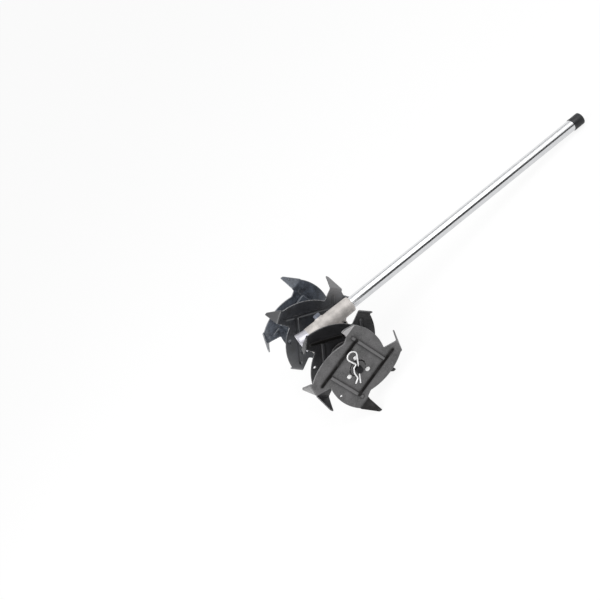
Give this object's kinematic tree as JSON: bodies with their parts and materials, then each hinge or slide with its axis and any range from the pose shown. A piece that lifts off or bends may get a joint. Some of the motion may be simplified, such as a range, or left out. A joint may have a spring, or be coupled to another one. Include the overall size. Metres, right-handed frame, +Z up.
{
  "type": "mini cultivator",
  "caption": "Split-shaft cultivator attachment: a tube with a drive shaft inside, a worm-gear housing and riveted tine plates with bent claws on both ends of its axle.",
  "frame": {"origin": "centre of the bounding box on the ground, with the tool lying at rest on its lowest claw tips and the end of the shaft's cap", "axes": "+X horizontal from the tines towards the capped end of the shaft, which slopes down by 10.5 degrees; +Y along the tine axle to the left-hand tines; +Z up"},
  "size_m": [0.8356, 0.2976, 0.2108],
  "materials": {
    "tube": "polished",
    "casting": "as cast, fine grain",
    "turned_aluminium": "turned",
    "gasket": "matte",
    "zinc_steel": "bright zinc",
    "black_steel": "blackened",
    "plug": "blue-grey plated",
    "bush_rubber": "matte",
    "seal_rubber": "matte",
    "bearing_steel": "ground",
    "shaft_steel": "drawn, oiled",
    "gear_steel": "ground",
    "bronze": "machined bronze",
    "hub_paint": "satin black",
    "outer_paint": "satin dark grey",
    "inner_paint": "satin blue-black",
    "cap_vinyl": "soft vinyl, semi-matte"
  },
  "bodies": {
    "housing": {"shaft_tube": "tube", "gear_housing": "casting", "side_cover": "casting", "cover_gasket": "gasket", "cover_screws": "zinc_steel", "nose_cover": "turned_aluminium", "clamp_screw": "black_steel", "locating_screw": "black_steel", "grease_plug": "plug", "plug_washer": "plug", "shaft_bushes": "bush_rubber", "worm_bearings": "bearing_steel", "axle_bearings": "bearing_steel", "axle_seals": "seal_rubber"},
    "drive": {"drive_shaft": "shaft_steel", "worm": "gear_steel", "worm_bearing_races": "bearing_steel", "worm_snap_ring": "black_steel"},
    "tines": {"axle": "black_steel", "worm_wheel": "bronze", "wheel_key": "shaft_steel", "axle_bearing_races": "bearing_steel", "axle_snap_rings": "black_steel", "stop_washers": "black_steel", "tine_hub_right": "hub_paint", "tine_hub_left": "hub_paint", "outer_tines_right": "outer_paint", "outer_tines_left": "outer_paint", "inner_tines_right": "inner_paint", "inner_tines_left": "inner_paint", "rivets_right": "zinc_steel", "rivets_left": "zinc_steel", "r_clips": "zinc_steel"},
    "cap": {"shaft_cap": "cap_vinyl"}
  },
  "joints": [
    {"name": "tines_spin", "type": "hinge", "parent": "housing", "child": "tines", "pos_m": [-0.31044, 0, 0.10542], "axis": [0, 1, 0], "continuous": true},
    {"name": "drive_spin", "type": "hinge", "parent": "housing", "child": "drive", "pos_m": [-0.30279, 0, 0.14672], "axis": [0.9832, 0, -0.1823], "continuous": true},
    {"name": "cap_pull", "type": "slide", "parent": "housing", "child": "cap", "axis": [0.9832, 0, -0.1823], "range_m": [0, 0.1]}
  ],
  "couplings": [
    {"joint": "drive_spin", "follows": "tines_spin", "ratio": -32}
  ]
}
